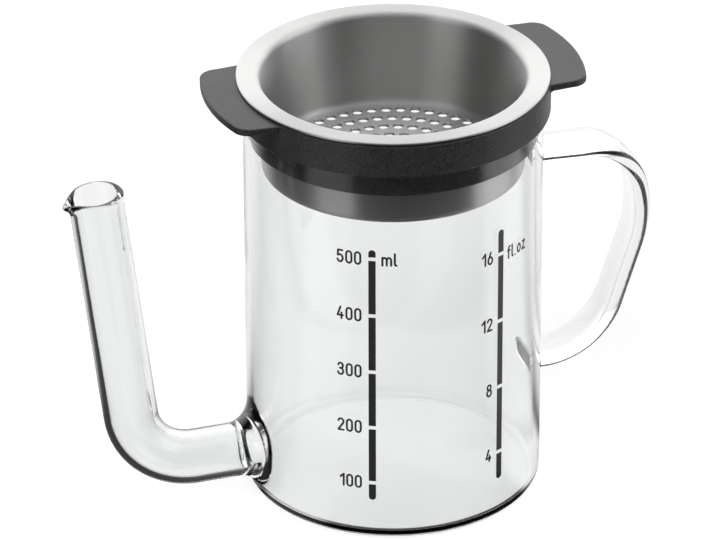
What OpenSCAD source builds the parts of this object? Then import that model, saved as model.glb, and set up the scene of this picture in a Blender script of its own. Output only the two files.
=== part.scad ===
// Gravy fat separator: a glass measuring jug with a low pouring tube beside it
// and a strainer that lifts off its mouth.
// Origin at the centre of the base, +Z up, pouring tube towards -X,
// handle towards +X, printed scales towards -Y. Millimetres.

/* [Jug] */
// Outer diameter of the glass jug
jug_d = 86.4; // [80:0.2:100]
// Height of the glass rim above the base
jug_h = 119.2; // [117:0.2:150]
// Thickness of the jug's wall
jug_wall = 1.9; // [1.6:0.1:2.6]
// Thickness of the jug's floor
jug_floor = 1.8; // [1.4:0.1:3]
// Outer corner radius between floor and wall
jug_corner_r = 3.2; // [2.2:0.1:5]

/* [Pouring tube] */
// Outer diameter of the pouring tube
tube_d = 15; // [13:0.2:17]
// Bore of the pouring tube
tube_bore = 11.4; // [9:0.2:12]
// Height of the low run's centre line above the base
tube_z = 14.5; // [14.2:0.1:20]
// Length of the low run, from the jug's wall to the bend
tube_run = 17.2; // [14:0.2:30]
// Bend radius of the tube's centre line
tube_bend_r = 19.6; // [16:0.2:30]
// Outward lean of the upright from the vertical, in degrees
tube_lean = 6.9; // [2:0.1:14]
// Length of the upright, from the bend to the mouth
tube_upright = 74.4; // [50:0.2:90]
// Radius of the fillet where the tube is welded to the jug
weld_r = 5.3; // [3:0.1:5.6]
// How far the pouring lip is drawn out past the tube
lip_out = 2.6; // [1:0.1:4]
// Height over which the lip is drawn out
lip_h = 5; // [3:0.1:8]
// Radius of the lip's rounded tip
lip_tip_r = 2.2; // [1.9:0.1:3]

/* [Handle] */
// Thickness of the glass strap
strap_t = 5.2; // [4:0.1:7]
// Width of the glass strap
strap_w = 13.8; // [10:0.1:18]
// Depth of the strap's centre below the rim, where it leaves the jug
handle_drop = 20.3; // [13:0.1:30]
// Downward slope of the strap at the jug, in degrees
handle_slope = 3; // [0:0.5:8]
// Straight length from the jug to the shoulder
handle_top = 14.8; // [8:0.1:30]
// Radius and turn of the shoulder
shoulder_r = 18.1; // [14:0.1:24]
// Turn of the shoulder, in degrees
shoulder_turn = 76; // [60:1:85]
// Radius of the gentle bend below the shoulder
back_r = 37.6; // [25:0.1:60]
// Turn of the gentle bend, in degrees
back_turn = 29; // [15:1:35]
// Straight length down the back
handle_back = 18.8; // [8:0.1:30]
// Radius of the heel
heel_r = 24; // [16:0.1:28]
// Turn of the heel, in degrees
heel_turn = 74; // [60:1:85]

/* [Strainer ring] */
// How far the ring stands out past the glass
ring_overhang = 2.05; // [1:0.05:6]
// Height of the ring above the glass rim
ring_h = 9.7; // [7:0.1:16]
// Depth of the plug that sits inside the glass
plug_h = 7.7; // [5:0.1:12]
// Wall of the plug
plug_wall = 1.5; // [1.2:0.1:4]
// How far an ear reaches out past the ring
ear_out = 10.05; // [6:0.05:20]
// Width of an ear at the ring
ear_root_w = 41.4; // [30:0.1:50]
// Width of an ear at its outer edge
ear_tip_w = 39.6; // [28:0.1:50]
// Thickness of an ear
ear_t = 2.1; // [1.6:0.1:4]
// Corner radius of an ear
ear_corner_r = 3; // [1:0.1:6]

/* [Strainer bowl] */
// Thickness of the steel sheet
sheet_t = 0.8; // [0.5:0.05:1.2]
// How far the flange's edge stays inside the ring's
flange_inset = 0.25; // [0:0.05:1]
// How much narrower the wall is at the floor
bowl_taper = 2; // [0:0.1:6]
// Height of the bowl, flange included
bowl_h = 29.3; // [20:0.1:45]
// Radius between flange and wall, on the inside
bowl_throat_r = 2; // [1.6:0.1:3]
// Outer corner radius between wall and floor
bowl_corner_r = 3; // [2:0.1:6]
// Diameter of a strainer hole
hole_d = 2.75; // [1.5:0.05:3]
// Distance between neighbouring holes in a row
hole_pitch = 4.2; // [3.6:0.1:6]
// Distance between rows of holes
hole_row_step = 5.45; // [4.4:0.05:8]
// Plain width between the outer row's centres and the floor's edge
hole_margin = 2.3; // [2:0.1:6]

/* [Printed scales] */
// Width of a printed bar
bar_w = 2.1; // [1:0.1:4]
// Height of the gap that marks a volume
mark_gap = 1.15; // [0.6:0.05:2]
// Height that the printed scale counts from
scale_zero = 0.8; // [0:0.1:2]
// Volume at the bars' lower end, in millilitres
bar_start_ml = 69; // [40:1:90]
// Length of the bars above the highest mark
bar_over = 2.9; // [1:0.1:5]
// Highest mark, in hundreds of millilitres
ml_marks = 5; // [3:1:5]
// Highest mark, in steps of four fluid ounces
oz_marks = 4; // [2:1:4]
// Angle of each bar from the front, in degrees
bar_angle = 26.6; // [15:0.1:40]
// Thickness of the fired print
print_t = 0.15; // [0.1:0.05:0.3]

/* [Fits] */
// Clearance between the plug and the glass
plug_gap = 0.4; // [0.3:0.05:0.6]
// Clearance between the bowl's wall and the ring
bowl_gap = 0.4; // [0.3:0.05:0.6]
// Gap under a piece that rests on another
seat_gap = 0.2; // [0.1:0.05:0.3]

/* [Hidden] */
$fn = 96;

jug_r = jug_d / 2;
jug_in_r = jug_r - jug_wall;
// Length that a cutter runs past a face, and how deep welded pieces start
over = 1;
// Room left for a collar at each end of a bend, and the depth of a fused edge
seam = 0.1;

// Volumes: what one millimetre of height holds in the jug and the upright
fill_area = PI * (pow(jug_in_r, 2) + pow(tube_bore / 2, 2) / cos(tube_lean));
fluid_ounce_ml = 29.5735;
ml_step = 100;
oz_step = 4;

// Ring, which sits on the rim with its plug inside the glass
ring_r = jug_r + ring_overhang;
ring_z = jug_h + seat_gap;
ring_top_z = ring_z + ring_h;
plug_z = ring_z - plug_h;
plug_r = jug_in_r - plug_gap;
ring_bore_r = plug_r - plug_wall;
ring_edge_r = 0.6;
ring_throat_r = bowl_throat_r - sheet_t - seat_gap;

// Bowl, which hangs in the ring by its flange
flange_r = ring_r - flange_inset;
bowl_r = ring_bore_r - bowl_gap;
bowl_low_r = bowl_r - bowl_taper / 2;
bowl_top_z = ring_top_z + seat_gap + sheet_t;
bowl_z = bowl_top_z - bowl_h;
hole_row_r = bowl_low_r - bowl_corner_r - hole_margin;

// Legs of a path: [straight length, bend radius, right-hand turn]
tube_legs = [[over + tube_run, tube_bend_r, 90 - tube_lean], [tube_upright, 0, 0]];
handle_legs = [
    [over + handle_top, shoulder_r, shoulder_turn],
    [0, back_r, back_turn],
    [handle_back, heel_r, heel_turn]
];

// Height of the liquid when the jug holds a volume in millilitres
function level_z(ml) = scale_zero + ml * 1000 / fill_area;

// Points on an arc, from angle a to angle b
function arc(centre, r, a, b, steps = 8) = [
    for (i = [0:steps])
        let (t = a + (b - a) * i / steps)
        centre + r * [cos(t), sin(t)]
];

// Place and heading [x, y, angle] where a path's first legs end
function path_end(legs, count, i = 0, at = [0, 0, 0]) =
    i == count ? at :
    let (
        run = legs[i][0],
        r = legs[i][1],
        h = at[2],
        h_out = h - legs[i][2]
    )
    path_end(legs, count, i + 1, [
        at[0] + run * cos(h) + r * (sin(h) - sin(h_out)),
        at[1] + run * sin(h) + r * (cos(h_out) - cos(h)),
        h_out
    ]);

// Moves its children to a place and heading on a path
module at_place(place) {
    translate([place[0], place[1], 0]) rotate(place[2]) children();
}

// Extrudes the 2D child along +X
module run_along(length) {
    rotate([90, 0, 90]) linear_extrude(length) children();
}

// Short collar, a hair wider than the 2D child, that closes a seam between legs
module seam_collar() {
    translate([-2 * seam, 0, 0]) run_along(4 * seam) scale(1.004) children();
}

// Sweeps the 2D child along a path's legs, which start at the origin along +X
module swept(legs) {
    last = len(legs) - 1;
    for (i = [0:last]) {
        run = legs[i][0];
        r = legs[i][1];
        turn = legs[i][2];
        at_place(path_end(legs, i)) {
            if (run > 0) run_along(run) children();
            if (turn > 0) {
                trim = seam / r * 180 / PI;
                translate([run, -r]) rotate_extrude(start = 90 - turn + trim, angle = turn - 2 * trim)
                    translate([r, 0]) children();
                translate([run, 0]) seam_collar() children();
            }
        }
        if (turn > 0 && i < last && legs[min(i + 1, last)][0] > 0)
            at_place(path_end(legs, i + 1)) seam_collar() children();
    }
}

// Stands a path's plane up and starts it at the jug's wall, at height z
module from_wall(z, side, tilt = 0) {
    translate([side * (jug_r - over), 0, z]) rotate([90, 0, 0])
        rotate(side > 0 ? -tilt : 180 + tilt) children();
}

// Outline of the jug's outside, from the axis out and up to the rim
jug_rim_r = jug_wall / 2;
jug_outside = concat(
    [[0, 0]],
    arc([jug_r - jug_corner_r, jug_corner_r], jug_corner_r, -90, 0)
);

// The jug filled solid, to cut welded pieces to its wall
module jug_body() {
    rotate_extrude() polygon(concat(
        jug_outside,
        arc([jug_r - jug_rim_r, jug_h - jug_rim_r], jug_rim_r, 0, 90),
        [[0, jug_h]]
    ));
}

// Straight-sided glass jug with a fire-polished rim and the pouring tube's hole
module glass_beaker() {
    inner_corner_r = jug_corner_r * 0.7;
    color([0.9, 0.95, 0.95, 0.4]) difference() {
        rotate_extrude() polygon(concat(
            jug_outside,
            arc([jug_r - jug_rim_r, jug_h - jug_rim_r], jug_rim_r, 0, 180, 12),
            arc([jug_in_r - inner_corner_r, jug_floor + inner_corner_r],
                inner_corner_r, 0, -90),
            [[0, jug_floor]]
        ));
        translate([0, 0, tube_z]) rotate([0, -90, 0]) cylinder(d = tube_bore, h = jug_d);
    }
}

// Round d, with its lip drawn out to a rounded tip of radius tip_r
module drawn_lip(d, tip_r) {
    edge_h = 0.8;
    hull() {
        translate([-lip_h, 0, 0]) rotate([0, 90, 0])
            cylinder(d = d - 2 * seam, h = lip_h, $fn = 32);
        translate([-edge_h, tube_d / 2 + lip_out - lip_tip_r, 0]) rotate([0, 90, 0])
            cylinder(r = tip_r, h = edge_h, $fn = 32);
    }
}

// Fillet of glass round the tube's root, in the plane of the tube's path
module weld() {
    root_r = tube_d / 2 + weld_r;
    back = jug_r - sqrt(pow(jug_r, 2) - pow(root_r, 2));
    rotate([0, 90, 0]) rotate_extrude() difference() {
        translate([0, over - back]) square([root_r, back + weld_r]);
        translate([root_r, over + weld_r]) circle(r = weld_r + seam / 2);
    }
}

// Bent glass tube, welded to the jug low down, with a drawn pouring lip
module pouring_tube() {
    bore_legs = [tube_legs[0], [tube_upright + over, 0, 0]];
    lip_wall = (tube_d - tube_bore) / 2 * 0.8;
    mouth = path_end(tube_legs, 2);
    color([0.9, 0.95, 0.95, 0.4]) difference() {
        from_wall(tube_z, -1) {
            swept(tube_legs) circle(d = tube_d);
            weld();
            at_place(mouth) drawn_lip(tube_d, lip_tip_r);
        }
        from_wall(tube_z, -1) {
            swept(bore_legs) circle(d = tube_bore);
            at_place(mouth) translate([seam, 0, 0]) drawn_lip(tube_bore, lip_tip_r - lip_wall);
        }
        jug_body();
    }
}

// Cross-section of the glass strap, thickness across and width up
module strap_section() {
    flat = strap_w - strap_t;
    square([strap_t, flat], center = true);
    for (side = [-1, 1]) translate([0, side * flat / 2]) circle(d = strap_t, $fn = 48);
}

// Open glass strap handle, welded to the jug high up and low down
module strap_handle() {
    end = path_end(handle_legs, len(handle_legs));
    end_x = end[0] * cos(handle_slope) + end[1] * sin(handle_slope);
    last_run = end_x / -cos(end[2] - handle_slope);
    legs = concat(handle_legs, [[last_run, 0, 0]]);
    color([0.9, 0.95, 0.95, 0.4]) difference() {
        from_wall(jug_h - handle_drop, 1, handle_slope) swept(legs) strap_section();
        jug_body();
    }
}

// Flat outline of a graduated bar with a gap at each mark
module graduated_bar(step_ml, marks) {
    top_z = level_z(ml_marks * ml_step) + bar_over;
    bottom_z = level_z(bar_start_ml);
    end_r = bar_w / 2;
    difference() {
        union() {
            translate([-end_r, bottom_z + end_r]) square([bar_w, top_z - bottom_z - bar_w]);
            for (z = [bottom_z + end_r, top_z - end_r])
                translate([0, z]) circle(r = end_r, $fn = 32);
        }
        for (i = [1:marks])
            translate([-bar_w, level_z(i * step_ml) - mark_gap / 2]) square([2 * bar_w, mark_gap]);
    }
}

// Wraps a flat outline onto the jug's front at an angle
module printed(angle) {
    color([0.18, 0.18, 0.19]) intersection() {
        difference() {
            cylinder(r = jug_r + print_t, h = jug_h);
            translate([0, 0, -over]) cylinder(r = jug_r, h = jug_h + 2 * over);
        }
        rotate(angle) rotate([90, 0, 0]) linear_extrude(jug_d) children();
    }
}

// Fired print: bar graduated in hundreds of millilitres
module millilitre_scale() {
    printed(-bar_angle) graduated_bar(ml_step, ml_marks);
}

// Fired print: bar graduated in steps of four fluid ounces
module fluid_ounce_scale() {
    printed(bar_angle) graduated_bar(oz_step * fluid_ounce_ml, oz_marks);
}

// Flat outline of one ear, pointing along +X
module ear_outline() {
    inset = ring_r - 2 * ear_corner_r;
    reach = ring_r + ear_out;
    offset(r = ear_corner_r) offset(delta = -ear_corner_r) intersection() {
        circle(r = reach);
        polygon([
            [inset, -ear_root_w / 2], [reach, -ear_tip_w / 2],
            [reach, ear_tip_w / 2], [inset, ear_root_w / 2]
        ]);
    }
}

// Plastic ring: skirt on the glass rim, plug inside it, and two flat ears
module strainer_ring() {
    skirt_edge_r = 0.3;
    color([0.13, 0.13, 0.14]) {
        rotate_extrude() polygon(concat(
            [[ring_bore_r, plug_z]],
            arc([plug_r - ring_edge_r, plug_z + ring_edge_r], ring_edge_r, -90, 0),
            [[plug_r, ring_z]],
            arc([ring_r - skirt_edge_r, ring_z + skirt_edge_r], skirt_edge_r, -90, 0),
            arc([ring_r - ring_edge_r, ring_top_z - ring_edge_r], ring_edge_r, 0, 90),
            arc([ring_bore_r + ring_throat_r, ring_top_z - ring_throat_r],
                ring_throat_r, 90, 180)
        ));
        for (turn = [0, 180]) rotate(turn) translate([0, 0, ring_top_z - ear_t])
            linear_extrude(ear_t) difference() {
                ear_outline();
                circle(r = ring_r - over);
            }
    }
}

// Rows of round holes through the bowl's floor, and one at the centre
module floor_holes() {
    rows = floor(hole_row_r / hole_row_step - 0.5);
    translate([0, 0, bowl_z - over]) {
        cylinder(d = hole_d, h = sheet_t + 2 * over, $fn = 24);
        for (i = [0:rows]) {
            r = hole_row_r - i * hole_row_step;
            count = floor(2 * PI * r / hole_pitch);
            for (j = [0:count - 1]) rotate(360 * j / count) translate([r, 0])
                cylinder(d = hole_d, h = sheet_t + 2 * over, $fn = 24);
        }
    }
}

// Pressed steel bowl with a flange to hang by and a perforated floor
module strainer_bowl() {
    bend_r = bowl_throat_r;
    bend = [bowl_r - sheet_t + bend_r, bowl_top_z - bend_r];
    corner = [bowl_low_r - bowl_corner_r, bowl_z + bowl_corner_r];
    color([0.78, 0.78, 0.8]) difference() {
        rotate_extrude() polygon(concat(
            [[0, bowl_z]],
            arc(corner, bowl_corner_r, -90, 0),
            arc(bend, bend_r - sheet_t, 180, 90),
            arc([flange_r - sheet_t / 2, bowl_top_z - sheet_t / 2], sheet_t / 2, -90, 90),
            arc(bend, bend_r, 90, 180),
            arc(corner, bowl_corner_r - sheet_t, 0, -90),
            [[0, bowl_z + sheet_t]]
        ));
        floor_holes();
    }
}

glass_beaker();
pouring_tube();
strap_handle();
millilitre_scale();
fluid_ounce_scale();
strainer_ring();
strainer_bowl();
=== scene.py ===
"""Looks of the gravy fat separator: glass jug, printed scales, plastic ring and steel bowl.

Shapes are worked out in millimetres and handed to Blender in metres.
"""
import math

import bmesh
import bpy
import numpy as np
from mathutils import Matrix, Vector
from mathutils.geometry import delaunay_2d_cdt


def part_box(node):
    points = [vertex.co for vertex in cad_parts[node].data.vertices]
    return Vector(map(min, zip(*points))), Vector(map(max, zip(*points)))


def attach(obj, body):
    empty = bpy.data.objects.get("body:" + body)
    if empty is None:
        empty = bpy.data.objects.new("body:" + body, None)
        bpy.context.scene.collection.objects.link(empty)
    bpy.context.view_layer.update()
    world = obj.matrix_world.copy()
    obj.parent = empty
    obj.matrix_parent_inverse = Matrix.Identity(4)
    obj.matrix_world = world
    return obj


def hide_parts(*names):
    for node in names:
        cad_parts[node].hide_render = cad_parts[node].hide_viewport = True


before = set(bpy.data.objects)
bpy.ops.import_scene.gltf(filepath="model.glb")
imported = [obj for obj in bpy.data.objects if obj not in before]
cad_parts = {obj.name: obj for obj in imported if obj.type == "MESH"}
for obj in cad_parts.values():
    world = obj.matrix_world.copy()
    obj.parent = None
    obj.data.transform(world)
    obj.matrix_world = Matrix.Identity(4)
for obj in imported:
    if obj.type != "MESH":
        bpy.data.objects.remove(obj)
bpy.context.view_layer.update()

MM = 0.001


def span(node):
    """Lowest and highest corner of a CAD node, in millimetres."""
    return [np.array(corner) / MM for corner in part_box(node)]


# Jug, with a rim that swells a little and a floor that is pushed up in its middle
JUG_LOW, JUG_HIGH = span("glass_beaker")
JUG_R = (JUG_HIGH[0] - JUG_LOW[0]) / 2
JUG_H = JUG_HIGH[2]
JUG_WALL = 1.9
JUG_FLOOR = 1.8
JUG_CORNER_R = 3.2
JUG_INNER_CORNER_R = 0.7 * JUG_CORNER_R
JUG_IN_R = JUG_R - JUG_WALL
RIM_BEAD = 0.3
RIM_BEAD_H = 1.1
PUSH_UP = 0.35
PUSH_UP_R = 34.0

# Pouring tube, in the X-Z plane. The photo shows it 0.9 mm wider than the solids have it
TUBE_R = 7.95
BORE_R = 6.1
TUBE_Z = 14.6
TUBE_RUN = 17.6
TUBE_BEND_R = 19.6
TUBE_LEAN = math.radians(6.9)
TUBE_UPRIGHT = 74.4
# Fillet round the tube's root, below it and, larger, above it
WELD_R = 5.3
WELD_TOP_R = 7.2
BORE_EDGE_R = 1.2
# Pouring lip: reach past the tube, height over which it grows, and its rounded tip
LIP_OUT = 2.4
LIP_H = 5.0
LIP_TIP_R = 2.2
LIP_TIP_WALL = 1.44
# Droop of the lip's tip, and the distance from the tube's axis where the droop starts
LIP_DROOP = 1.8
LIP_DROOP_FROM = 3.0
# Limit of the shares by which the lip grows and droops, reached past its tip
LIP_LIMIT = 1.2
# Fire-polished swelling at the mouth, and how far from the mouth its shape is used
BEAD = 0.22
BEAD_H = 1.0
MOUTH_NEAR = 20.0

# Handle, in the X-Z plane. Its legs are straight length, bend radius and turn in degrees
STRAP_T = 5.2
STRAP_W = 13.8
STRAP_EDGE_R = 1.9
STRAP_CROWN = 0.7
HANDLE_DROP = 20.3
HANDLE_Z = JUG_H - HANDLE_DROP
HANDLE_SLOPE = math.radians(3)
HANDLE_LEGS = [(14.8, 18.1, 76), (0, 37.6, 29), (18.8, 24.0, 74)]
HANDLE_WELD_R = 1.6

# Clearances between the parts that come apart
SEAT_GAP = 0.2
PLUG_GAP = 0.4
BOWL_GAP = 0.4

# Strainer ring
RING_LOW, RING_HIGH = span("strainer_ring")
RING_OVERHANG = 2.05
PLUG_WALL = 1.5
RING_Z = JUG_H + SEAT_GAP
RING_TOP_Z = RING_HIGH[2]
RING_R = JUG_R + RING_OVERHANG
PLUG_Z = RING_LOW[2]
PLUG_R = JUG_IN_R - PLUG_GAP
RING_BORE_R = PLUG_R - PLUG_WALL
EAR_REACH = RING_HIGH[0]
EAR_ROOT_W = 41.4
EAR_TIP_W = 39.6
EAR_T = 2.1
EAR_CORNER_R = 3.0

# Strainer bowl
BOWL_LOW, BOWL_HIGH = span("strainer_bowl")
SHEET_T = 0.8
BOWL_TAPER = 2.0
FLANGE_R = BOWL_HIGH[0]
BOWL_TOP_Z = BOWL_HIGH[2]
BOWL_Z = BOWL_LOW[2]
BOWL_R = RING_BORE_R - BOWL_GAP
BOWL_LOW_R = BOWL_R - BOWL_TAPER / 2
BOWL_CORNER_R = 3.0
BOWL_THROAT_R = 2.0
HOLE_R = 1.375
HOLE_PITCH = 4.2
HOLE_ROW_STEP = 5.45
HOLE_MARGIN = 2.3

# Printed scales, whose marks stand where the solids have them
BAR_ANGLE = math.radians(26.6)
BAR_W = 2.1
MARK_GAP = 1.15
BAR_OVER = 2.9
BAR_START_ML = 69
SCALE_ZERO = 0.8
ML_MARKS = [100, 200, 300, 400, 500]
OZ_MARKS = [4, 8, 12, 16]
FLUID_OUNCE_ML = 29.5735
FILL_BORE_R = 5.7
FILL_AREA = math.pi * (JUG_IN_R ** 2 + FILL_BORE_R ** 2 / math.cos(TUBE_LEAN))


# ---------------------------------------------------------------- mesh making

SLOPE_STEP = 0.02
SURFACE_MOVES = 4
MOVE_LIMIT = 0.5
LEAST_SLOPE = 1e-6
MERGE_DISTANCE = 1e-6
SHARP_EDGE = math.radians(35)


def new_piece(name, vertices, faces, material, normals=None):
    """A smooth mesh object from millimetre vertices, with its own normals if given."""
    mesh = bpy.data.meshes.new(name)
    mesh.from_pydata((np.asarray(vertices) * MM).tolist(), [], [list(map(int, f)) for f in faces])
    mesh.update()
    mesh.polygons.foreach_set("use_smooth", [True] * len(mesh.polygons))
    if normals is not None:
        mesh.normals_split_custom_set_from_vertices(normals.tolist())
    mesh.materials.append(material)
    piece = bpy.data.objects.new(name, mesh)
    bpy.context.scene.collection.objects.link(piece)
    return piece


def merge_close(piece):
    """Welds a piece's doubled vertices, turns its faces outward and keeps its sharp edges."""
    bm = bmesh.new()
    bm.from_mesh(piece.data)
    bmesh.ops.remove_doubles(bm, verts=bm.verts, dist=MERGE_DISTANCE)
    bmesh.ops.recalc_face_normals(bm, faces=bm.faces)
    for edge in bm.edges:
        edge.smooth = not (len(edge.link_faces) == 2 and edge.calc_face_angle() > SHARP_EDGE)
    bm.to_mesh(piece.data)
    bm.free()


def graded(*stops):
    """Grid lines from one stop to the next: (place, spacing up to the next stop), ..., (end,)."""
    lines = []
    for (start, spacing), (end, *_) in zip(stops[:-1], stops[1:]):
        count = max(1, round((end - start) / spacing))
        lines += [start + (end - start) * i / count for i in range(count)]
    return np.array(lines + [stops[-1][0]])


def gradient(field, p):
    """Slope of a field at points, by central differences."""
    out = np.empty_like(p)
    for axis in range(3):
        d = np.zeros(3)
        d[axis] = SLOPE_STEP
        ahead, behind = p + d, p - d
        out[:, axis] = (field(*ahead.T) - field(*behind.T)) / (2 * SLOPE_STEP)
    return out


def crossing_means(f, lines, cells):
    """For each grid cell, the mean of the field's zero crossings on the cell's edges."""
    sums, hits = np.zeros((len(cells), 3)), np.zeros(len(cells))
    for axis in range(3):
        b, c = [a for a in range(3) if a != axis]
        for u, v in ((0, 0), (0, 1), (1, 0), (1, 1)):
            start = cells.copy()
            start[:, b] += u
            start[:, c] += v
            end = start.copy()
            end[:, axis] += 1
            fa, fb = f[tuple(start.T)], f[tuple(end.T)]
            crosses = (fa < 0) != (fb < 0)
            t = np.where(crosses, fa / np.where(crosses, fa - fb, 1), 0)
            place = np.stack([lines[a][start[:, a]] for a in range(3)], 1)
            place[:, axis] += t * (lines[axis][end[:, axis]] - lines[axis][start[:, axis]])
            sums += place * crosses[:, None]
            hits += crosses
    return sums / hits[:, None]


def cell_quads(inside, number):
    """Quads that join the numbered cells round each grid edge that the surface crosses."""
    quads = []
    for axis in range(3):
        b, c = (axis + 1) % 3, (axis + 2) % 3
        low, high = [slice(1, -1)] * 3, [slice(1, -1)] * 3
        low[axis], high[axis] = slice(0, -1), slice(1, None)
        start_in, end_in = inside[tuple(low)], inside[tuple(high)]
        for edges, turned in ((start_in & ~end_in, False), (~start_in & end_in, True)):
            at = np.argwhere(edges)
            at[:, b] += 1
            at[:, c] += 1
            ring = []
            for db, dc in ((-1, -1), (0, -1), (0, 0), (-1, 0)):
                cell = at.copy()
                cell[:, b] += db
                cell[:, c] += dc
                ring.append(number[tuple(cell.T)])
            quads.append(np.stack(ring[::-1] if turned else ring, 1))
    return np.concatenate(quads)


def surface(field, xs, ys, zs):
    """Closed quad mesh of a field's zero surface on a graded grid, with exact normals."""
    f = field(xs[:, None, None], ys[None, :, None], zs[None, None, :])
    inside = f < 0
    nx, ny, nz = (n - 1 for n in f.shape)
    corners = [inside[i:i + nx, j:j + ny, k:k + nz]
               for i in (0, 1) for j in (0, 1) for k in (0, 1)]
    total = sum(corner.astype(np.int8) for corner in corners)
    cells = np.argwhere((total > 0) & (total < len(corners)))
    number = np.full((nx, ny, nz), -1)
    number[tuple(cells.T)] = np.arange(len(cells))

    # Vertices start inside their cells and then slide down the slope onto the surface
    p = crossing_means(f, (xs, ys, zs), cells)
    for _ in range(SURFACE_MOVES):
        slope = gradient(field, p)
        move = field(*p.T) / np.maximum((slope ** 2).sum(1), LEAST_SLOPE)
        p -= slope * np.clip(move, -MOVE_LIMIT, MOVE_LIMIT)[:, None]
    slope = gradient(field, p)
    normals = slope / np.linalg.norm(slope, axis=1)[:, None]
    return p, cell_quads(inside, number), normals


def round_union(a, b, r):
    """Two fields joined, with a fillet of radius r between them."""
    return np.maximum(r, np.minimum(a, b)) - np.hypot(np.maximum(r - a, 0), np.maximum(r - b, 0))


def round_cut(a, b, r):
    """What two fields share, with its edge rounded to radius r."""
    return np.minimum(-r, np.maximum(a, b)) + np.hypot(np.maximum(r + a, 0), np.maximum(r + b, 0))


# ---------------------------------------------------------------- flat outlines

def oval(cx, cy, rx, ry, start, end, steps=14):
    """Points on a part of an oval, from one angle in degrees to another."""
    return [(cx + rx * math.cos(math.radians(start + (end - start) * i / steps)),
             cy + ry * math.sin(math.radians(start + (end - start) * i / steps)))
            for i in range(steps + 1)]


def arc(centre, r, start, end, steps=8):
    """Points on an arc, from one angle in degrees to another."""
    return oval(*centre, r, r, start, end, steps)


def circle(r, count, centre=(0, 0)):
    """Points all round a circle, the first one towards +X."""
    return [(centre[0] + r * math.cos(2 * math.pi * i / count),
             centre[1] + r * math.sin(2 * math.pi * i / count)) for i in range(count)]


# ---------------------------------------------------------------- paths in the X-Z plane

def walk(start, heading, side, legs):
    """Straight and bent stretches of a path, with the place and heading where it ends.

    A leg is (straight length, bend radius, turn in degrees); side 1 turns clockwise.
    """
    at, stretches = np.array(start, float), []
    for run, radius, turn in legs:
        along = np.array([math.cos(heading), math.sin(heading)])
        if run:
            stretches.append(("straight", at, along, run))
            at = at + along * run
        if turn:
            across = side * np.array([along[1], -along[0]])
            centre = at + across * radius
            heading_out = heading - side * math.radians(turn)
            along_out = np.array([math.cos(heading_out), math.sin(heading_out)])
            end = centre - side * np.array([along_out[1], -along_out[0]]) * radius
            stretches.append(("bend", at, along, end, along_out, centre, radius))
            at, heading = end, heading_out
    return stretches, at, heading


def path_distance(x, z, stretches):
    """Distance in the plane to the nearest point of a path."""
    far_away = 1e3
    best = None
    for kind, at, along, *rest in stretches:
        px, pz = x - at[0], z - at[1]
        if kind == "straight":
            t = np.clip(px * along[0] + pz * along[1], 0, rest[0])
            d = np.hypot(px - t * along[0], pz - t * along[1])
        else:
            end, along_out, centre, radius = rest
            begun = px * along[0] + pz * along[1] >= 0
            ended = (x - end[0]) * along_out[0] + (z - end[1]) * along_out[1] > 0
            from_arc = np.abs(np.hypot(x - centre[0], z - centre[1]) - radius)
            d = np.where(begun & ~ended, from_arc, far_away)
        best = d if best is None else np.minimum(best, d)
    return best


# ---------------------------------------------------------------- glass jug

# Depth below the jug's surface where tube and handle start
ROOT_DEPTH = 1.0
ROOT = JUG_R - ROOT_DEPTH


def rooted(legs):
    """A path's legs, with the first one started inside the jug's wall."""
    run, radius, turn = legs[0]
    return [(run + ROOT_DEPTH, radius, turn), *legs[1:]]


# The tube's path runs on past its mouth, so that the mouth's plane alone ends the tube
FREE_END = 12.0
TUBE_START = ((-ROOT, TUBE_Z), math.pi, 1)
TUBE_LEGS = rooted([(TUBE_RUN, TUBE_BEND_R, 90 - math.degrees(TUBE_LEAN)), (TUBE_UPRIGHT, 0, 0)])
_, MOUTH, MOUTH_HEADING = walk(*TUBE_START, TUBE_LEGS)
TUBE_PATH, _, _ = walk(*TUBE_START, [TUBE_LEGS[0], (TUBE_UPRIGHT + FREE_END, 0, 0)])
MOUTH_UP = np.array([math.cos(MOUTH_HEADING), math.sin(MOUTH_HEADING)])
MOUTH_OUT = np.array([-MOUTH_UP[1], MOUTH_UP[0]])

# The handle's last leg runs straight back to the jug
HANDLE_START = ((ROOT, HANDLE_Z), -HANDLE_SLOPE, 1)
HANDLE_BENDS = rooted(HANDLE_LEGS)
_, HANDLE_TURNED, HANDLE_HEADING = walk(*HANDLE_START, HANDLE_BENDS)
HANDLE_RETURN = (ROOT - HANDLE_TURNED[0]) / math.cos(HANDLE_HEADING)
HANDLE_PATH, _, _ = walk(*HANDLE_START, [*HANDLE_BENDS, (HANDLE_RETURN, 0, 0)])

# Grids as (place, spacing up to the next place), ..., (end,): fine at the base, the tube,
# the handle's welds, the lip and the rim, and coarse along straight stretches
GLASS_X_GRID = ((-101, 0.7), (-68, 1.16), (38.5, 0.7), (47, 0.95), (80.5,))
GLASS_Y_GRID = ((-45, 1.1), (-9.1, 0.7), (9.1, 1.1), (45,))
GLASS_Z_GRID = ((-1, 0.5), (5, 0.9), (36, 2.5), (76, 1.1), (100, 0.7), (108, 1.5),
                (117.5, 0.4), (120.3,))


def beaked_round(u, v, r, tip_r, tip_at):
    """Field of a circle of radius r drawn out along +u to a tip circle."""
    b = (r - tip_r) / tip_at
    a = np.sqrt(np.maximum(1 - b ** 2, 0))
    v = np.abs(v)
    k = a * u - b * v
    side = a * v + b * u - r
    tip = np.hypot(u - tip_at, v) - tip_r
    return np.where(k < 0, np.hypot(u, v) - r, np.where(k > a * tip_at, tip, side))


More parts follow.
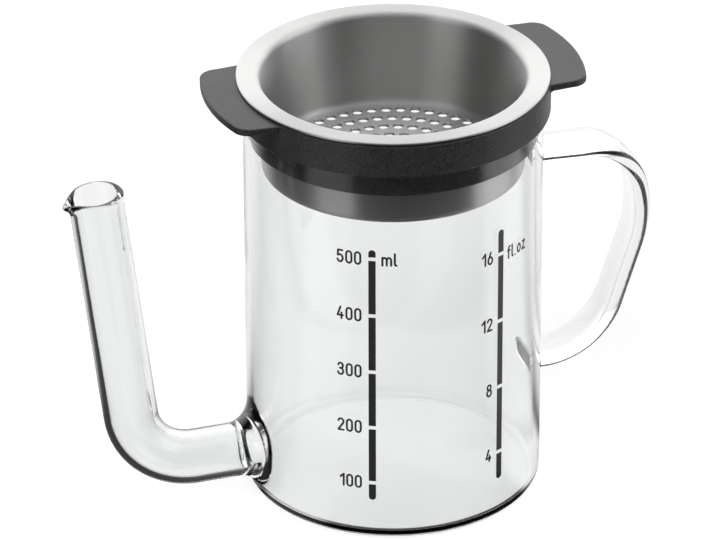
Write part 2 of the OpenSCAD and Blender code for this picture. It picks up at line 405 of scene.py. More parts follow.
def tube_fields(x, y, z):
    """Outside and bore of the pouring tube, its mouth plane, and where the mouth's shape holds."""
    from_path = np.hypot(path_distance(x, z, TUBE_PATH), y)
    up = (x - MOUTH[0]) * MOUTH_UP[0] + (z - MOUTH[1]) * MOUTH_UP[1]
    out = (x - MOUTH[0]) * MOUTH_OUT[0] + (z - MOUTH[1]) * MOUTH_OUT[1]
    near = (up > -MOUTH_NEAR) & (np.hypot(out, y) < MOUTH_NEAR)

    # The mouth's plane bends down towards the lip's tip, and the lip grows towards the plane
    lip_end = TUBE_R + LIP_OUT
    drooped = np.clip((out - LIP_DROOP_FROM) / (lip_end - LIP_DROOP_FROM), 0, LIP_LIMIT) ** 2
    up = up + LIP_DROOP * drooped
    drawn = np.clip(up / LIP_H + 1, 0, LIP_LIMIT) ** 2
    bead = BEAD * np.exp(-((up + BEAD_H) / BEAD_H) ** 2)
    tip_at = TUBE_R - LIP_TIP_R + LIP_OUT * drawn
    bore_tip_r = LIP_TIP_R - LIP_TIP_WALL
    bore_tip_at = BORE_R - bore_tip_r + (lip_end - LIP_TIP_R - BORE_R + bore_tip_r) * drawn
    mouth_outside = beaked_round(out, y, TUBE_R, LIP_TIP_R, tip_at) - bead
    mouth_bore = beaked_round(out, y, BORE_R, bore_tip_r, bore_tip_at) + bead / 2
    outside = np.where(near, mouth_outside, from_path - TUBE_R)
    bore = np.where(near, mouth_bore, from_path - BORE_R)
    return outside, bore, up, near


def strap_field(x, y, z):
    """Field of the glass strap: flat faces that crown softly into round edges."""
    crown = STRAP_CROWN * (2 * y / STRAP_W) ** 2
    across = path_distance(x, z, HANDLE_PATH) - (STRAP_T / 2 - STRAP_EDGE_R) + crown
    side = np.abs(y) - (STRAP_W / 2 - STRAP_EDGE_R)
    return (np.hypot(np.maximum(across, 0), np.maximum(side, 0))
            + np.minimum(np.maximum(across, side), 0) - STRAP_EDGE_R)


def glass_field(x, y, z):
    """Signed distance to the one piece of glass: jug, pouring tube and handle."""
    rho = np.hypot(x, y)
    base = PUSH_UP * np.maximum(1 - (rho / PUSH_UP_R) ** 2, 0) ** 2
    rim = RIM_BEAD * np.exp(-((z - JUG_H + RIM_BEAD_H) / RIM_BEAD_H) ** 2)
    tube, bore, mouth_up, near_mouth = tube_fields(x, y, z)

    solid = round_cut(rho - JUG_R - rim, base - z, JUG_CORNER_R)
    weld_r = WELD_R + (WELD_TOP_R - WELD_R) * np.clip((z - TUBE_Z) / TUBE_R, 0, 1)
    solid = round_union(solid, tube, weld_r)
    solid = round_union(solid, strap_field(x, y, z), HANDLE_WELD_R)

    cavity = round_cut(rho - JUG_IN_R, JUG_FLOOR + base - z, JUG_INNER_CORNER_R)
    cavity = round_union(cavity, bore, BORE_EDGE_R)

    wall = np.maximum(solid, -cavity)
    mouth_r = (TUBE_R - BORE_R) / 2 + BEAD / 2
    wall = np.where(near_mouth, round_cut(wall, mouth_up, mouth_r), wall)
    return round_cut(wall, z - JUG_H, JUG_WALL / 2)


def make_glass(material):
    """The whole glass jug in one skin, with its welds run together."""
    vertices, faces, normals = surface(
        glass_field, graded(*GLASS_X_GRID), graded(*GLASS_Y_GRID), graded(*GLASS_Z_GRID))
    piece = new_piece("glass_jug", vertices, faces, material, normals)
    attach(piece, "jug")
    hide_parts("glass_beaker", "pouring_tube", "strap_handle")
    return piece


# ---------------------------------------------------------------- plastic ring

RING_EDGE_R = 0.6
RING_SKIRT_R = 0.35
RING_THROAT_R = BOWL_THROAT_R - SHEET_T - SEAT_GAP
EAR_EDGE_R = 0.45
EAR_FILLET_R = 1.2
EAR_INSET = RING_R - 2 * EAR_CORNER_R
# How far the plug and the ears run into the skirt, so that they join it
PLUG_OVERLAP = 1
EAR_OVERLAP = 2
# How far the fillet under an ear stays inside the ear's outline
FILLET_INSET = 0.2

RING_SPACING = 0.55
RING_MARGIN = 0.8
# Fine rows at the plug's lower edge, the seat and the ears
RING_Z_GRID = ((PLUG_Z - 0.7, 0.35), (PLUG_Z + 1.2, 0.9), (RING_Z - 0.6, 0.3), (RING_Z + 0.9, 0.9),
               (RING_TOP_Z - EAR_T - 1.5, 0.3), (RING_TOP_Z + 0.6,))


def ring_field(x, y, z):
    """Signed distance to the plastic ring with its plug and two ears."""
    rho = np.hypot(x, y)
    skirt = round_cut(rho - RING_R, z - RING_TOP_Z, RING_EDGE_R)
    skirt = round_cut(skirt, RING_Z - z, RING_SKIRT_R)
    below_top = z - RING_TOP_Z + PLUG_OVERLAP
    plug = np.maximum(round_cut(rho - PLUG_R, PLUG_Z - z, RING_EDGE_R), below_top)

    taper = (EAR_ROOT_W - EAR_TIP_W) / 2 / (EAR_REACH - EAR_INSET)
    side = (np.abs(y) - EAR_ROOT_W / 2 + taper * (np.abs(x) - EAR_INSET)) / math.hypot(1, taper)
    outline = round_cut(side, rho - EAR_REACH, EAR_CORNER_R)
    under = RING_TOP_Z - EAR_T - z
    beside = np.maximum(RING_R - EAR_OVERLAP - rho, EAR_INSET - np.abs(x))
    ear = round_cut(round_cut(outline, z - RING_TOP_Z, EAR_EDGE_R), under, EAR_EDGE_R)
    ear = np.maximum(ear, beside)
    fillet = round_union(rho - RING_R, under, EAR_FILLET_R)
    for bound in (outline + FILLET_INSET, beside, below_top, under - 2 * EAR_FILLET_R):
        fillet = np.maximum(fillet, bound)

    body = np.minimum(np.minimum(skirt, plug), np.minimum(ear, fillet))
    throat = round_cut(RING_BORE_R - rho, z - RING_TOP_Z, RING_THROAT_R)
    return np.maximum(body, throat)


def make_ring(material):
    """The moulded ring in one skin."""
    reach_x, reach_y = EAR_REACH + RING_MARGIN, RING_R + RING_MARGIN
    xs = graded((-reach_x, RING_SPACING), (reach_x,))
    ys = graded((-reach_y, RING_SPACING), (reach_y,))
    vertices, faces, normals = surface(ring_field, xs, ys, graded(*RING_Z_GRID))
    piece = new_piece("plastic_ring", vertices, faces, material, normals)
    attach(piece, "ring")
    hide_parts("strainer_ring")
    return piece


# ---------------------------------------------------------------- steel bowl

# Points round the bowl and round a hole, and the width of a hole's bevelled edge
AROUND = 240
HOLE_SIDES = 24
HOLE_EDGE = 0.22
SHEET_MERGE = 1e-6


def hole_centres():
    """Rows of strainer holes round the floor's centre, and one at the centre."""
    row_r = BOWL_LOW_R - BOWL_CORNER_R - HOLE_MARGIN
    centres = [(0, 0)]
    for i in range(math.floor(row_r / HOLE_ROW_STEP - 0.5) + 1):
        r = row_r - i * HOLE_ROW_STEP
        centres += circle(r, math.floor(2 * math.pi * r / HOLE_PITCH))
    return centres


def between(a, b, steps):
    """Evenly spaced points between two points, without the two."""
    return [(a[0] + (b[0] - a[0]) * i / steps, a[1] + (b[1] - a[1]) * i / steps)
            for i in range(1, steps)]


def bowl_profile():
    """Section of the bowl: up its inside, over the flange and down its outside."""
    bend = (BOWL_R - SHEET_T + BOWL_THROAT_R, BOWL_TOP_Z - BOWL_THROAT_R)
    corner = (BOWL_LOW_R - BOWL_CORNER_R, BOWL_Z + BOWL_CORNER_R)
    inside = arc(corner, BOWL_CORNER_R - SHEET_T, -90, 0)
    throat = arc(bend, BOWL_THROAT_R, 180, 90)
    edge = arc((FLANGE_R - SHEET_T / 2, BOWL_TOP_Z - SHEET_T / 2), SHEET_T / 2, 90, -90)
    under = arc(bend, BOWL_THROAT_R - SHEET_T, 90, 180)
    outside = arc(corner, BOWL_CORNER_R, 0, -90)
    wall_steps, flange_steps = 6, 3
    return (inside + between(inside[-1], throat[0], wall_steps)
            + throat + between(throat[-1], edge[0], flange_steps)
            + edge + between(edge[-1], under[0], flange_steps)
            + under + between(under[-1], outside[0], wall_steps) + outside)


def round_faces(rings, count, first=0):
    """Quads between rings of vertices that follow one another, count vertices in each."""
    return [(first + i * count + j, first + i * count + (j + 1) % count,
             first + (i + 1) * count + (j + 1) % count, first + (i + 1) * count + j)
            for i in range(rings - 1) for j in range(count)]


def floor_sheet(floor_r, centres):
    """Points and triangles of a flat round sheet with holes."""
    hole_r = HOLE_R + HOLE_EDGE
    points = circle(floor_r, AROUND)
    loops = [list(range(AROUND))]
    for centre in centres:
        loops.append(list(range(len(points), len(points) + HOLE_SIDES)))
        points += circle(hole_r, HOLE_SIDES, centre)
    edges = [(loop[i], loop[(i + 1) % len(loop)]) for loop in loops for i in range(len(loop))]
    cut = delaunay_2d_cdt([Vector(p) for p in points], edges, [], 0, SHEET_MERGE)
    flat = np.array([tuple(p) for p in cut[0]])
    triangles = np.array(cut[2])
    middles = flat[triangles].mean(1)
    gaps = np.min([np.hypot(*(middles - c).T) for c in np.array(centres)], axis=0)
    return flat, triangles[gaps > hole_r]


def make_bowl(material):
    """The pressed bowl: a turned shell, a floor with two faces, and the holes' walls."""
    profile = bowl_profile()
    vertices = [(r * c, r * s, z) for r, z in profile for c, s in circle(1, AROUND)]
    faces = [face[::-1] for face in round_faces(len(profile), AROUND)]

    centres = hole_centres()
    flat, triangles = floor_sheet(profile[0][0], centres)
    top_z, low_z = BOWL_Z + SHEET_T, BOWL_Z
    for z, order in ((top_z, 1), (low_z, -1)):
        first = len(vertices)
        vertices += [(x, y, z) for x, y in flat]
        faces += [tuple(first + i for i in t[::order]) for t in triangles]

    rings = [(HOLE_R + HOLE_EDGE, top_z), (HOLE_R, top_z - HOLE_EDGE),
             (HOLE_R, low_z + HOLE_EDGE), (HOLE_R + HOLE_EDGE, low_z)]
    for centre in centres:
        first = len(vertices)
        vertices += [(x, y, z) for r, z in rings for x, y in circle(r, HOLE_SIDES, centre)]
        faces += round_faces(len(rings), HOLE_SIDES, first)

    piece = new_piece("steel_bowl", vertices, faces, material)
    merge_close(piece)
    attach(piece, "bowl")
    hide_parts("strainer_bowl")
    return piece


# ---------------------------------------------------------------- printed scales

DIGIT_H = 4.3
STROKE = 0.62
LINE_H = DIGIT_H - STROKE
LINE_W = 1.55
STROKE_END_STEPS = 7
LETTER_GAP = 0.42
# Space from a bar to its numerals and to its unit, and how far the long unit hangs lower
LABEL_GAP = 2.0
UNIT_GAP = 1.6
OZ_UNIT_DROP = 0.8
# The print starts just below the glass surface and stands a little proud of it
PRINT_LOW_R = JUG_R - 0.05
PRINT_TOP_R = JUG_R + 0.03
PRINT_MERGE = 1e-4

# Strokes of each sign in a box 1 wide and 1 high; a sign's width is given in box widths
SIGNS = {
    "0": (1, [oval(.5, .75, .5, .25, 0, 180) + oval(.5, .25, .5, .25, 180, 360) + [(1, .75)]]),
    "1": (.62, [[(0, .74), (.62, 1), (.62, 0)]]),
    "2": (1, [oval(.5, .75, .5, .25, 170, -28) + [(.0, 0), (1, 0)]]),
    "3": (1, [oval(.48, .76, .46, .24, 165, -70) + [(.36, .55)],
              [(.36, .55)] + oval(.48, .27, .52, .27, 70, -165)]),
    "4": (1.05, [[(.56, 1), (0, .27), (1.05, .27)], [(.76, .5), (.76, 0)]]),
    "5": (1, [[(.92, 1), (.1, 1), (.05, .55)] + oval(.48, .31, .52, .31, 128, -160)]),
    "6": (1, [oval(.5, .3, .5, .3, 0, 360), [(.05, .42), (.62, 1)]]),
    "8": (1, [oval(.5, .28, .5, .28, 0, 360), oval(.5, .78, .42, .22, 0, 360)]),
    "m": (1.6, [[(0, 0), (0, .68)], oval(.4, .43, .4, .24, 180, 0) + [(.8, 0)],
                oval(1.2, .43, .4, .24, 180, 0) + [(1.6, 0)]]),
    "l": (.3, [[(0, 1)] + oval(.3, .16, .3, .16, 180, 270)]),
    "f": (.6, [oval(.62, .8, .38, .2, 90, 180) + [(.24, 0)], [(0, .66), (.6, .66)]]),
    "o": (1, [oval(.5, .34, .5, .34, 0, 360)]),
    "z": (.85, [[(0, .68), (.85, .68), (0, 0), (.85, 0)]]),
    ".": (.02, [[(0, 0), (.02, 0)]]),
}


def stroke_outline(points, width):
    """Closed outlines that together cover a stroke with round ends and joints."""
    outlines = []
    r = width / 2
    for a, b in zip(points[:-1], points[1:]):
        heading = math.degrees(math.atan2(b[1] - a[1], b[0] - a[0]))
        outlines.append(arc(a, r, heading + 90, heading + 270, STROKE_END_STEPS)
                        + arc(b, r, heading - 90, heading + 90, STROKE_END_STEPS))
    return outlines


def label(text, x, z, align):
    """Outlines of a line of signs with its middle at height z, that starts or ends at x."""
    widths = [SIGNS[sign][0] * LINE_W + STROKE for sign in text]
    length = sum(widths) + LETTER_GAP * (len(text) - 1)
    at = x if align == "left" else x - length
    outlines = []
    for sign, width in zip(text, widths):
        for stroke in SIGNS[sign][1]:
            line = [(at + STROKE / 2 + px * LINE_W, z - LINE_H / 2 + pz * LINE_H)
                    for px, pz in stroke]
            outlines += stroke_outline(line, STROKE)
        at += width + LETTER_GAP
    return outlines


def level_z(ml):
    """Height of the liquid when the jug holds a volume in millilitres."""
    return SCALE_ZERO + ml * 1000 / FILL_AREA


def bar(volumes):
    """Outlines of a graduated bar: one tile between each two marks, round at the far ends."""
    low, high = level_z(BAR_START_ML), level_z(ML_MARKS[-1]) + BAR_OVER
    cuts = [low] + [level_z(v) for v in volumes] + [high]
    r = BAR_W / 2
    tiles = []
    for a, b in zip(cuts[:-1], cuts[1:]):
        bottom = a if a == low else a + MARK_GAP / 2
        top = b if b == high else b - MARK_GAP / 2
        lower = arc((0, bottom + r), r, 180, 360) if a == low else [(-r, bottom), (r, bottom)]
        upper = arc((0, top - r), r, 0, 180) if b == high else [(r, top), (-r, top)]
        tiles.append(lower + upper)
    return tiles


def make_scale(name, node, angle, outlines, material):
    """Print on the jug's wall, from flat outlines in millimetres wrapped round it."""
    points, loops = [], []
    for outline in outlines:
        loops.append(list(range(len(points), len(points) + len(outline))))
        points += outline
    cut = delaunay_2d_cdt([Vector(p) for p in points], [], loops, 1, PRINT_MERGE)
    flat, triangles, covered_by = cut[0], cut[2], cut[5]
    triangles = [t for t, loops_over in zip(triangles, covered_by) if loops_over]
    edges = {(a, b) for t in triangles for a, b in zip(t, t[1:] + t[:1])}
    rim = [(a, b) for a, b in edges if (b, a) not in edges]
    vertices = []
    for r in (PRINT_TOP_R, PRINT_LOW_R):
        for x, z in flat:
            turn = angle + x / JUG_R
            vertices.append((r * math.sin(turn), -r * math.cos(turn), z))
    count = len(flat)
    faces = [tuple(t) for t in triangles]
    faces += [tuple(i + count for i in reversed(t)) for t in triangles]
    faces += [(b, a, a + count, b + count) for a, b in rim]
    piece = new_piece(name, vertices, faces, material)
    piece.data.polygons.foreach_set("use_smooth", [False] * len(piece.data.polygons))
    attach(piece, "jug")
    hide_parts(node)
    return piece


def make_scales(material):
    """Both scales: bar, numerals to its left and unit to its right."""
    left = -BAR_W / 2 - LABEL_GAP
    right = BAR_W / 2 + UNIT_GAP
    ml = bar(ML_MARKS)
    for v in ML_MARKS:
        ml += label(str(v), left, level_z(v), "right")
    ml += label("ml", right, level_z(ML_MARKS[-1]), "left")
    make_scale("millilitre_print", "millilitre_scale", -BAR_ANGLE, ml, material)
    oz = bar([v * FLUID_OUNCE_ML for v in OZ_MARKS])
    for v in OZ_MARKS:
        oz += label(str(v), left, level_z(v * FLUID_OUNCE_ML), "right")
    oz += label("fl.oz", right, level_z(OZ_MARKS[-1] * FLUID_OUNCE_ML) - OZ_UNIT_DROP, "left")
    make_scale("fluid_ounce_print", "fluid_ounce_scale", BAR_ANGLE, oz, material)


# ---------------------------------------------------------------- shader nodes

def new_material(name, **sockets):
    """A Principled material with its constant values set on the shader's own sockets."""
    material = bpy.data.materials.new(name)
    material.use_nodes = True
    shader = material.node_tree.nodes["Principled BSDF"]
    for socket, value in sockets.items():
        shader.inputs[socket.replace("_", " ")].default_value = value
    return material, material.node_tree, shader


def grey(value):
    """An opaque grey."""
    return (value, value, value, 1.0)


def add(tree, kind, **settings):
    """A new node with its settings."""
    node = tree.nodes.new(kind)
    for key, value in settings.items():
        setattr(node, key, value)
    return node


def feed(tree, value, socket):
    """Links an output to a socket, or sets a plain number on it."""
    if isinstance(value, (int, float)):
        socket.default_value = value
    else:
        tree.links.new(value, socket)


def object_place(tree):
    """Place on the object, in metres."""
    return add(tree, "ShaderNodeTexCoord").outputs["Object"]


def noise(tree, vector, scale, detail, roughness=0.5):
    """Noise from 0 to 1."""
    node = add(tree, "ShaderNodeTexNoise")
    node.inputs["Scale"].default_value = scale
    node.inputs["Detail"].default_value = detail
    node.inputs["Roughness"].default_value = roughness
    tree.links.new(vector, node.inputs["Vector"])
    return node.outputs["Fac"]


def spread(tree, value, low, high, start=0.0, end=1.0):
    """Maps a value from start to end onto low to high."""
    node = add(tree, "ShaderNodeMapRange")
    for socket, number in (("From Min", start), ("From Max", end), ("To Min", low), ("To Max", high)):
        node.inputs[socket].default_value = number
    tree.links.new(value, node.inputs["Value"])
    return node.outputs["Result"]


def step(tree, value, low, high):
    """Smooth step of a value from 0 at low to 1 at high."""
    node = add(tree, "ShaderNodeMapRange", interpolation_type="SMOOTHSTEP")
    node.inputs["From Min"].default_value = low
    node.inputs["From Max"].default_value = high
    tree.links.new(value, node.inputs["Value"])
    return node.outputs["Result"]


def calc(tree, operation, a, b=0):
    """Result of an operation on one or two values, each an output or a plain number."""
    node = add(tree, "ShaderNodeMath", operation=operation)
    feed(tree, a, node.inputs[0])
    feed(tree, b, node.inputs[1])
    return node.outputs[0]


def blend(tree, factor, a, b):
    """Value between a and b, each an output or a plain number."""
    node = add(tree, "ShaderNodeMix", data_type="FLOAT")
    tree.links.new(factor, node.inputs["Factor"])
    feed(tree, a, node.inputs["A"])
    feed(tree, b, node.inputs["B"])
    return node.outputs["Result"]


def tint(tree, factor, low, high):
    """Colour between two colours."""
    node = add(tree, "ShaderNodeMix", data_type="RGBA")
    tree.links.new(factor, node.inputs["Factor"])
    node.inputs["A"].default_value = low
    node.inputs["B"].default_value = high
    return node.outputs["Result"]


def mixed(tree, factor, a, b):
    """Shader between two shaders."""
    node = add(tree, "ShaderNodeMixShader")
    for output, socket in zip((factor, a, b), node.inputs):
        tree.links.new(output, socket)
    return node.outputs[0]


def bump(tree, height, strength, distance):
    """Normal of a surface that rises by distance, in metres, where height is 1."""
    node = add(tree, "ShaderNodeBump")
    node.inputs["Strength"].default_value = strength
    node.inputs["Distance"].default_value = distance
    tree.links.new(height, node.inputs["Height"])
    return node.outputs["Normal"]


def axis_distance(tree, x, y, least):
    """Distance from the Z axis, kept above a small value so that it can divide."""
    squares = calc(tree, "ADD", calc(tree, "MULTIPLY", x, x), calc(tree, "MULTIPLY", y, y))
    return calc(tree, "MAXIMUM", calc(tree, "SQRT", squares), least)


# ---------------------------------------------------------------- materials

def glass_material():
    """Clear borosilicate glass, a little wavy as hand-worked glass is, with light shadows."""
    material, tree, shader = new_material(
        "clear_borosilicate_glass", Base_Color=(0.985, 0.995, 0.992, 1), Roughness=0.0, IOR=1.473,
        Transmission_Weight=1.0)
    wave = noise(tree, object_place(tree), scale=45, detail=1.0)
    tree.links.new(bump(tree, wave, strength=0.12, distance=0.0006), shader.inputs["Normal"])
    clear = add(tree, "ShaderNodeBsdfTransparent")
    clear.inputs["Color"].default_value = grey(0.93)
    shadow = add(tree, "ShaderNodeLightPath").outputs["Is Shadow Ray"]
    either = mixed(tree, shadow, shader.outputs[0], clear.outputs[0])
    tree.links.new(either, tree.nodes["Material Output"].inputs["Surface"])
    return material


def plastic_material():
    """Matte black moulded plastic with a fine eroded grain."""
    material, tree, shader = new_material(
        "matte_black_plastic", Base_Color=grey(0.022), Roughness=0.5, IOR=1.5)
    place = object_place(tree)
    fine = noise(tree, place, scale=2400, detail=3.0, roughness=0.6)
    broad = noise(tree, place, scale=60, detail=2.0)
    speckle = calc(tree, "ADD", calc(tree, "MULTIPLY", fine, 0.8), calc(tree, "MULTIPLY", broad, 0.2))
    speckle = spread(tree, speckle, low=0.0, high=1.0, start=0.4, end=0.64)
    colour = tint(tree, speckle, (0.012, 0.012, 0.013, 1), (0.052, 0.052, 0.055, 1))
    tree.links.new(colour, shader.inputs["Base Color"])
    gloss = spread(tree, fine, low=0.36, high=0.5, start=0.3, end=0.7)
    tree.links.new(gloss, shader.inputs["Roughness"])
    tree.links.new(bump(tree, fine, strength=0.6, distance=0.0001), shader.inputs["Normal"])
    return material


def steel_material():
    """Brushed stainless steel: fine scratches that run round the bowl's axis.

    A quarter turn of the anisotropy stretches highlights across the scratches.
    """
    material, tree, shader = new_material(
        "brushed_stainless_steel", Base_Color=(0.62, 0.61, 0.60, 1), Metallic=1.0, Roughness=0.45,
        Anisotropic=0.95, Anisotropic_Rotation=0.25)
    least_radius = 0.0005
    across_scale = 900
    place = add(tree, "ShaderNodeSeparateXYZ")
    tree.links.new(object_place(tree), place.inputs[0])
    x, y, z = place.outputs
    radius = axis_distance(tree, x, y, least_radius)

    # Noise changes slowly with the direction from the axis, and fast across the scratches
    turn = add(tree, "ShaderNodeCombineXYZ")
    tree.links.new(calc(tree, "DIVIDE", x, radius), turn.inputs[0])
    tree.links.new(calc(tree, "DIVIDE", y, radius), turn.inputs[1])
    across = calc(tree, "MULTIPLY", calc(tree, "SUBTRACT", radius, z), across_scale)
    tree.links.new(across, turn.inputs[2])
    scratch = noise(tree, turn.outputs[0], scale=6.0, detail=4.0, roughness=0.7)

    colour = tint(tree, scratch, (0.53, 0.525, 0.52, 1), (0.7, 0.695, 0.69, 1))
    tree.links.new(colour, shader.inputs["Base Color"])
    gloss = spread(tree, scratch, low=0.36, high=0.5, start=0.3, end=0.7)
    tree.links.new(gloss, shader.inputs["Roughness"])
    tree.links.new(bump(tree, scratch, strength=0.18, distance=0.00004), shader.inputs["Normal"])
    tangent = add(tree, "ShaderNodeTangent", direction_type="RADIAL", axis="Z")
    tree.links.new(tangent.outputs[0], shader.inputs["Tangent"])
    return material


def print_material():
    """Dark fired enamel with a faint mottle."""
    material, tree, shader = new_material(
        "fired_dark_print", Base_Color=(0.03, 0.03, 0.033, 1), Roughness=0.35, IOR=1.5)
    mottle = noise(tree, object_place(tree), scale=1800, detail=3.0, roughness=0.6)
    colour = tint(tree, mottle, (0.022, 0.022, 0.025, 1), (0.04, 0.04, 0.043, 1))
    tree.links.new(colour, shader.inputs["Base Color"])
    tree.links.new(spread(tree, mottle, low=0.28, high=0.45), shader.inputs["Roughness"])
    return material


# ---------------------------------------------------------------- stage, lights and camera

FLOOR_R = 12.0
FLOOR_DROP = 0.0002
FLOOR_GREY = 0.8
# Light that the floor adds for the camera, near the object and more of it far off
FLOOR_GLOW = 0.43
FLOOR_FAR_GLOW = 0.4
# Distances from the object's axis between which near floor turns into far floor
FLOOR_WHITE_R = (0.3, 0.75)
# Light that the near floor adds for rays bent by glass, and how bright they see the far floor
FLOOR_BENT_GLOW = 0.27
FLOOR_FAR = 0.7
# Share of the panels' light that mirrored rays see in the floor
FLOOR_MIRRORED = 0.55
# Even light of the world on dull surfaces, and the grey between the panels
AMBIENT = 0.4
STUDIO_GREY = 0.08
# Tall soft panels: compass angle from +X, half width and fade in degrees, top edge and its
# fade as heights on a unit sphere, strength
PANELS = [
    (204, 10, 12, 0.55, 0.3, 0.8),
    (341, 14, 12, 0.7, 0.3, 1.5),
    (72, 42, 30, 0.85, 0.15, 1.6),
]
# Soft light overhead: heights on a unit sphere where it starts and is full, strength
OVERHEAD = (0.8, 0.97, 1.1)
LEAST_LEVEL = 0.001

# Lamps: name, place and size in metres, power in watts
LAMPS = [
    ("key", (-0.7, -0.5, 1.1), (0.7, 0.7), 6),
    ("side", (0.95, -0.2, 0.75), (0.35, 0.9), 3),
    ("back", (0.1, 0.9, 0.9), (1.2, 0.6), 4),
]
LAMP_AIM = Vector((0, 0, 0.07))

CAMERA_AIM = Vector((0, 0, 0.0657))
CAMERA_DISTANCE = 1.6694
CAMERA_AZIMUTH = math.radians(-18.65)
CAMERA_ELEVATION = math.radians(28.49)
CAMERA_LENS = 288.35
CAMERA_SENSOR = 36
CAMERA_SHIFT_X = -0.04905
CAMERA_CLIP = (0.05, 100)


def studio_light(tree, direction, upward):
    """Light that metal and glass see from a direction: grey, with soft white panels.

    The floor's pattern has no height to end the panels, so upward is left out there.
    """
    split = add(tree, "ShaderNodeSeparateXYZ")
    tree.links.new(direction, split.inputs[0])
    x, y, up = split.outputs
    level = axis_distance(tree, x, y, LEAST_LEVEL)
    light = STUDIO_GREY
    for compass, half, fade, top, top_fade, strength in PANELS:
        turn = math.radians(compass)
        towards = calc(tree, "ADD", calc(tree, "MULTIPLY", x, math.cos(turn)),
                       calc(tree, "MULTIPLY", y, math.sin(turn)))
        along = calc(tree, "DIVIDE", towards, level)
        glow = step(tree, along, math.cos(math.radians(half + fade)), math.cos(math.radians(half)))
        if upward:
            above = step(tree, up, top, top + top_fade)
            glow = calc(tree, "MULTIPLY", glow, calc(tree, "SUBTRACT", 1.0, above))
        light = calc(tree, "ADD", light, calc(tree, "MULTIPLY", glow, strength))
    if upward:
        low, high, strength = OVERHEAD
        overhead = calc(tree, "MULTIPLY", step(tree, up, low, high), strength)
        light = calc(tree, "ADD", light, overhead)
    return light


def floor_material():
    """Pale floor that keeps shadows: near white to the camera, and see-through from below."""
    material = bpy.data.materials.new("pale_floor")
    material.use_nodes = True
    tree = material.node_tree
    tree.nodes.clear()
    path = add(tree, "ShaderNodeLightPath")
    bent = path.outputs["Is Transmission Ray"]
    mirrored = calc(tree, "MINIMUM", path.outputs["Glossy Depth"], 1.0)
    place = object_place(tree)
    length = add(tree, "ShaderNodeVectorMath", operation="LENGTH")
    tree.links.new(place, length.inputs[0])
    far = step(tree, length.outputs["Value"], *FLOOR_WHITE_R)

    # Near floor: a dull grey that takes shadows, lifted for the camera and for bent rays
    diffuse = add(tree, "ShaderNodeBsdfDiffuse")
    diffuse.inputs["Color"].default_value = grey(FLOOR_GREY)
    camera_glow = calc(tree, "ADD", calc(tree, "MULTIPLY", far, FLOOR_FAR_GLOW), FLOOR_GLOW)
    camera_glow = calc(tree, "MULTIPLY", path.outputs["Is Camera Ray"], camera_glow)
    bent_glow = calc(tree, "MULTIPLY", bent, FLOOR_BENT_GLOW)
    glow = add(tree, "ShaderNodeEmission")
    tree.links.new(calc(tree, "ADD", camera_glow, bent_glow), glow.inputs["Strength"])
    lit = add(tree, "ShaderNodeAddShader")
    tree.links.new(diffuse.outputs[0], lit.inputs[0])
    tree.links.new(glow.outputs[0], lit.inputs[1])

    # Bent rays see the far floor as an even pale grey, and mirrored rays see panels in all of it
    around = calc(tree, "MULTIPLY", studio_light(tree, place, upward=False), FLOOR_MIRRORED)
    studio = add(tree, "ShaderNodeEmission")
    tree.links.new(blend(tree, mirrored, FLOOR_FAR, around), studio.inputs["Strength"])
    as_studio = calc(tree, "MAXIMUM", mirrored, calc(tree, "MULTIPLY", bent, far))
    above = mixed(tree, as_studio, lit.outputs[0], studio.outputs[0])
    below = add(tree, "ShaderNodeBsdfTransparent").outputs[0]
    from_below = add(tree, "ShaderNodeNewGeometry").outputs["Backfacing"]
    output = add(tree, "ShaderNodeOutputMaterial")
    tree.links.new(mixed(tree, from_below, above, below), output.inputs["Surface"])
    return material


def make_floor():
    """One wide square, a hair below the jug's base."""
    mesh = bpy.data.meshes.new("floor")
    corners = ((-1, -1), (1, -1), (1, 1), (-1, 1))
    mesh.from_pydata([(FLOOR_R * x, FLOOR_R * y, -FLOOR_DROP) for x, y in corners],
                     [], [(0, 1, 2, 3)])
    mesh.materials.append(floor_material())
    floor = bpy.data.objects.new("floor", mesh)
    bpy.context.scene.collection.objects.link(floor)


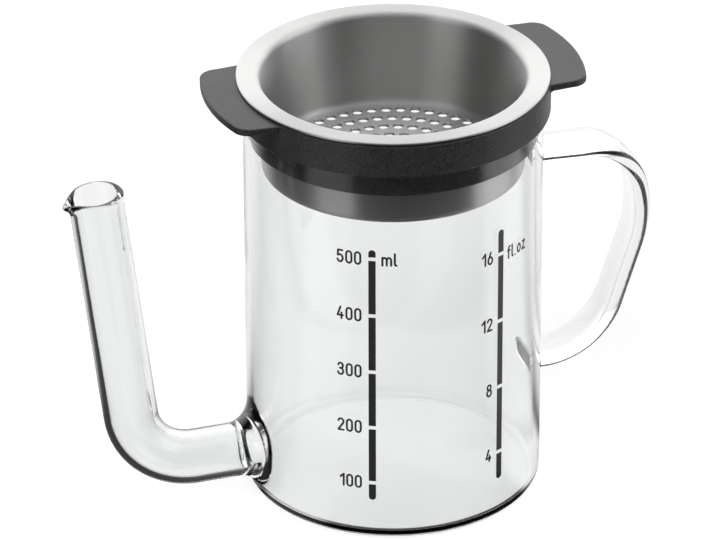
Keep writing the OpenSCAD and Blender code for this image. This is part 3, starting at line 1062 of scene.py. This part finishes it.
def make_world():
    """White to the camera, even pale light on dull surfaces, and panels to metal and glass."""
    world = bpy.data.worlds.new("studio")
    bpy.context.scene.world = world
    world.use_nodes = True
    tree = world.node_tree
    background = tree.nodes["Background"]
    background.inputs["Color"].default_value = grey(1)
    direction = add(tree, "ShaderNodeTexCoord").outputs["Generated"]
    studio = studio_light(tree, direction, upward=True)
    path = add(tree, "ShaderNodeLightPath")
    shown = calc(tree, "MAXIMUM", path.outputs["Is Glossy Ray"], path.outputs["Is Transmission Ray"])
    lit = blend(tree, shown, AMBIENT, studio)
    seen = blend(tree, path.outputs["Is Camera Ray"], lit, 1.0)
    tree.links.new(seen, background.inputs["Strength"])


def area_light(name, place, size, power):
    """A soft rectangular lamp aimed at the object's middle, which no mirror or glass shows."""
    data = bpy.data.lights.new(name, "AREA")
    data.shape = "RECTANGLE"
    data.size, data.size_y = size
    data.energy = power
    lamp = bpy.data.objects.new(name, data)
    lamp.location = place
    lamp.rotation_euler = (LAMP_AIM - lamp.location).to_track_quat("-Z", "Y").to_euler()
    lamp.visible_glossy = False
    lamp.visible_transmission = False
    bpy.context.scene.collection.objects.link(lamp)


def make_lights():
    """The three lamps."""
    for lamp in LAMPS:
        area_light(*lamp)


def make_camera():
    """Camera at the photo's viewpoint."""
    data = bpy.data.cameras.new("camera")
    data.sensor_width = CAMERA_SENSOR
    data.lens = CAMERA_LENS
    data.shift_x = CAMERA_SHIFT_X
    data.clip_start, data.clip_end = CAMERA_CLIP
    back = Vector((math.sin(CAMERA_AZIMUTH) * math.cos(CAMERA_ELEVATION),
                   -math.cos(CAMERA_AZIMUTH) * math.cos(CAMERA_ELEVATION),
                   math.sin(CAMERA_ELEVATION)))
    camera = bpy.data.objects.new("camera", data)
    camera.location = CAMERA_AIM + back * CAMERA_DISTANCE
    camera.rotation_euler = (-back).to_track_quat("-Z", "Y").to_euler()
    bpy.context.scene.collection.objects.link(camera)
    bpy.context.scene.camera = camera


make_camera()
make_world()
make_lights()
make_floor()
make_glass(glass_material())
make_ring(plastic_material())
make_bowl(steel_material())
make_scales(print_material())

bpy.context.scene.view_settings.view_transform = "Standard"
